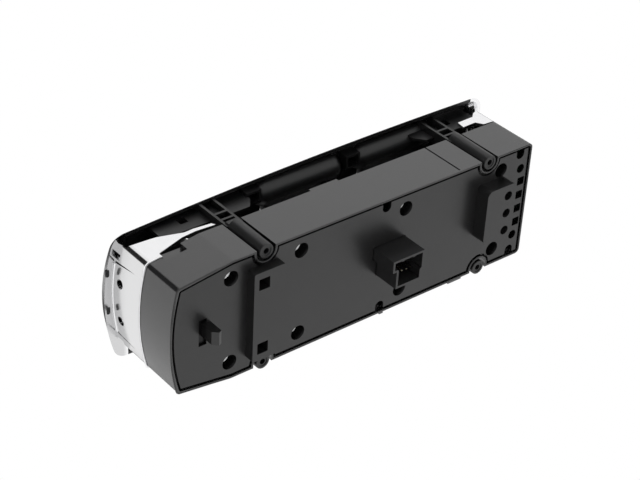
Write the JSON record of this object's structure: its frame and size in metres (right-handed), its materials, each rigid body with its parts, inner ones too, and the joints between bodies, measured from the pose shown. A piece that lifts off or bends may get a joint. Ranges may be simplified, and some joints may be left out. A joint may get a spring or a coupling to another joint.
{
  "type": "vehicle power window switch panel",
  "caption": "Driver's door switch panel with window rockers, mirror adjuster and lock button on a bezel, over a deep housing with a rear connector.",
  "frame": {"origin": "centre of the four screw pillars, in the plane of the pillars' ends at the rear of the panel", "axes": "+Z towards the operating face, +X along the panel towards the bowed bright end with the mirror adjuster, +Y across the panel towards the side that is uppermost in the picture"},
  "size_m": [0.2145, 0.0689, 0.0634],
  "materials": {
    "housing_plastic": "fine-textured black moulding",
    "cover_plastic": "fine-textured black moulding",
    "bezel_plastic": "satin black moulding, smooth in the finger scoops",
    "bright_trim": "bright plated plastic",
    "connector_plastic": "black moulding",
    "pin_metal": "tinned pins",
    "screw_steel": "zinc-plated steel",
    "board": "green resist",
    "component_body": "moulded package",
    "clear_plastic": "clear light guide",
    "button_plastic": "satin soft-touch black",
    "slider_plastic": "natural low-friction moulding",
    "contact_rubber": "grey silicone"
  },
  "bodies": {
    "panel": {"bezel_panel": "bezel_plastic", "board_components": "component_body", "circuit_board": "board", "connector_pins": "pin_metal", "connector_shroud": "connector_plastic", "cover_screws": "screw_steel", "front_trim_cap": "bright_trim", "housing_shell": "housing_plastic", "light_guide": "clear_plastic", "lock_contact_mat": "contact_rubber", "mirror_contact_mat": "contact_rubber", "rear_cover": "cover_plastic", "rear_trim_cap": "bright_trim", "rocker_pins": "screw_steel"},
    "rocker_front_left": {"rocker_front_left": "button_plastic"},
    "rocker_front_right": {"rocker_front_right": "button_plastic"},
    "rocker_rear_left": {"rocker_rear_left": "button_plastic"},
    "rocker_rear_right": {"rocker_rear_right": "button_plastic"},
    "slider_front_left": {"slider_front_left": "slider_plastic"},
    "slider_front_right": {"slider_front_right": "slider_plastic"},
    "slider_rear_left": {"slider_rear_left": "slider_plastic"},
    "slider_rear_right": {"slider_rear_right": "slider_plastic"},
    "mirror_select_left": {"mirror_select_left": "button_plastic"},
    "mirror_select_right": {"mirror_select_right": "button_plastic"},
    "mirror_fold_button": {"mirror_fold_button": "button_plastic"},
    "rear_lock_button": {"rear_lock_button": "button_plastic"},
    "mirror_pivot_ring": {"mirror_pivot_ring": "slider_plastic"},
    "mirror_pad": {"mirror_pad": "button_plastic"}
  },
  "joints": [
    {"name": "rocker_front_left_tilt", "type": "hinge", "parent": "panel", "child": "rocker_front_left", "pos_m": [0.012, 0.0086, 0.0415], "axis": [1, 0, 0], "range_deg": [-6, 6], "stiffness_Nm_per_rad": 0.25},
    {"name": "rocker_front_right_tilt", "type": "hinge", "parent": "panel", "child": "rocker_front_right", "pos_m": [0.012, -0.0086, 0.0415], "axis": [1, 0, 0], "range_deg": [-6, 6], "stiffness_Nm_per_rad": 0.25},
    {"name": "rocker_rear_left_tilt", "type": "hinge", "parent": "panel", "child": "rocker_rear_left", "pos_m": [-0.044, 0.0086, 0.0415], "axis": [1, 0, 0], "range_deg": [-6, 6], "stiffness_Nm_per_rad": 0.25},
    {"name": "rocker_rear_right_tilt", "type": "hinge", "parent": "panel", "child": "rocker_rear_right", "pos_m": [-0.044, -0.0086, 0.0415], "axis": [1, 0, 0], "range_deg": [-6, 6], "stiffness_Nm_per_rad": 0.25},
    {"name": "slider_front_left_shift", "type": "slide", "parent": "panel", "child": "slider_front_left", "axis": [0, 1, 0], "range_m": [-0.00255, 0.00255]},
    {"name": "slider_front_right_shift", "type": "slide", "parent": "panel", "child": "slider_front_right", "axis": [0, 1, 0], "range_m": [-0.00255, 0.00255]},
    {"name": "slider_rear_left_shift", "type": "slide", "parent": "panel", "child": "slider_rear_left", "axis": [0, 1, 0], "range_m": [-0.00255, 0.00255]},
    {"name": "slider_rear_right_shift", "type": "slide", "parent": "panel", "child": "slider_rear_right", "axis": [0, 1, 0], "range_m": [-0.00255, 0.00255]},
    {"name": "mirror_select_left_press", "type": "slide", "parent": "panel", "child": "mirror_select_left", "axis": [0, 0, -1], "range_m": [0, 0.0014], "stiffness_N_per_m": 1800},
    {"name": "mirror_select_right_press", "type": "slide", "parent": "panel", "child": "mirror_select_right", "axis": [0, 0, -1], "range_m": [0, 0.0014], "stiffness_N_per_m": 1800},
    {"name": "mirror_fold_button_press", "type": "slide", "parent": "panel", "child": "mirror_fold_button", "axis": [0, 0, -1], "range_m": [0, 0.0014], "stiffness_N_per_m": 1800},
    {"name": "rear_lock_button_press", "type": "slide", "parent": "panel", "child": "rear_lock_button", "axis": [0, 0, -1], "range_m": [0, 0.0014], "stiffness_N_per_m": 1800},
    {"name": "mirror_ring_tilt", "type": "hinge", "parent": "panel", "child": "mirror_pivot_ring", "pos_m": [0.0775, 0, 0.042], "axis": [1, 0, 0], "range_deg": [-4, 4], "stiffness_Nm_per_rad": 0.2},
    {"name": "mirror_pad_tilt", "type": "hinge", "parent": "mirror_pivot_ring", "child": "mirror_pad", "pos_m": [0.0775, 0, 0.042], "axis": [0, 1, 0], "range_deg": [-4, 4], "stiffness_Nm_per_rad": 0.2}
  ],
  "couplings": [
    {"joint": "slider_front_left_shift", "follows": "rocker_front_left_tilt", "m_per_rad": 0.0235},
    {"joint": "slider_front_right_shift", "follows": "rocker_front_right_tilt", "m_per_rad": 0.0235},
    {"joint": "slider_rear_left_shift", "follows": "rocker_rear_left_tilt", "m_per_rad": 0.0235},
    {"joint": "slider_rear_right_shift", "follows": "rocker_rear_right_tilt", "m_per_rad": 0.0235}
  ]
}
